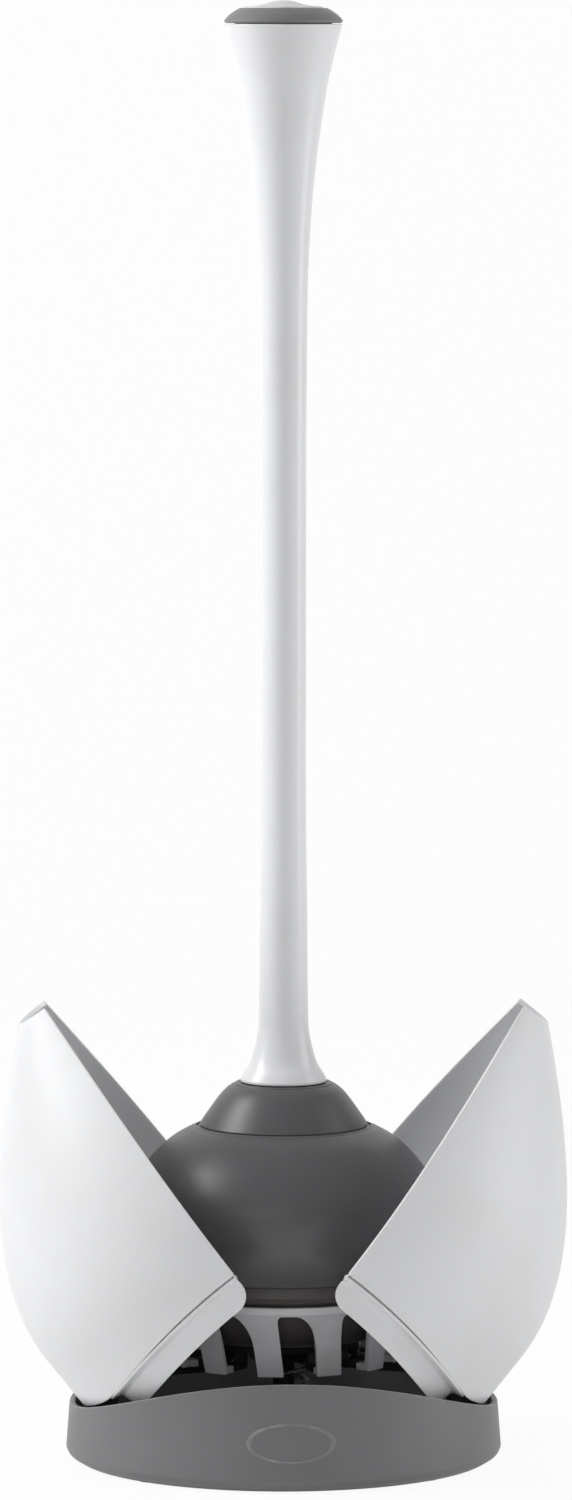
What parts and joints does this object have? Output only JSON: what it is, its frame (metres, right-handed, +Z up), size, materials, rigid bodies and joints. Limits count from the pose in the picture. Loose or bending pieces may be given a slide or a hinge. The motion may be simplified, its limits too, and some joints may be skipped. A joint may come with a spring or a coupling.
{
  "type": "toilet plunger with caddy",
  "caption": "Toilet plunger with a slim flared handle and a rubber cup, standing in a round caddy whose two half-dome doors swing open and shut.",
  "frame": {"origin": "middle of the base's underside, on the floor", "axes": "+Z up along the handle, -Y towards the front, +X to the right; the doors open towards -X and +X"},
  "size_m": [0.21, 0.1614, 0.5384],
  "materials": {
    "base_grey": "satin",
    "inner_black": "satin",
    "pad_rubber": "matte",
    "steel": "zinc plated",
    "basket_white": "satin",
    "door_white": "fine satin",
    "cup_rubber": "satin rubber",
    "flange_rubber": "satin rubber",
    "handle_white": "semi gloss",
    "grip_grey": "soft touch",
    "insert_pale": "satin"
  },
  "bodies": {
    "base": {"base_shell": "base_grey", "base_floor": "inner_black", "foot_pad_1": "pad_rubber", "foot_pad_2": "pad_rubber", "foot_pad_3": "pad_rubber", "foot_pad_4": "pad_rubber", "guide_post": "inner_black", "post_stop": "inner_black", "post_screw": "steel", "return_spring": "steel", "left_hinge_block": "inner_black", "left_hinge_pin": "steel", "left_block_screw_1": "steel", "left_block_screw_2": "steel", "right_hinge_block": "inner_black", "right_hinge_pin": "steel", "right_block_screw_1": "steel", "right_block_screw_2": "steel"},
    "basket": {"basket": "basket_white", "basket_hub": "inner_black"},
    "left_door": {"left_door_shell": "door_white", "left_door_arm": "inner_black", "left_door_screw_1": "steel", "left_door_screw_2": "steel"},
    "right_door": {"right_door_shell": "door_white", "right_door_arm": "inner_black", "right_door_screw_1": "steel", "right_door_screw_2": "steel"},
    "plunger": {"cup": "cup_rubber", "drain_flange": "flange_rubber", "clamp_washer": "steel", "clamp_screw": "steel", "handle": "handle_white", "grip_cap": "grip_grey", "cap_insert": "insert_pale"}
  },
  "joints": [
    {"name": "basket_slide", "type": "slide", "parent": "base", "child": "basket", "axis": [0, 0, -1], "range_m": [0, 0.03], "stiffness_N_per_m": 150, "springref_m": -0.03, "deforming": ["return_spring"]},
    {"name": "left_door_hinge", "type": "hinge", "parent": "base", "child": "left_door", "pos_m": [-0.066, 0, 0.0313], "axis": [0, 1, 0], "range_deg": [0, 37.3]},
    {"name": "right_door_hinge", "type": "hinge", "parent": "base", "child": "right_door", "pos_m": [0.066, 0, 0.0313], "axis": [0, -1, 0], "range_deg": [0, 37.3]},
    {"name": "plunger_lift", "type": "slide", "parent": "basket", "child": "plunger", "axis": [0, 0, 1], "range_m": [0, 0.2]}
  ],
  "couplings": [
    {"joint": "left_door_hinge", "follows": "basket_slide", "rad_per_m": 21.7},
    {"joint": "right_door_hinge", "follows": "basket_slide", "rad_per_m": 21.7}
  ]
}
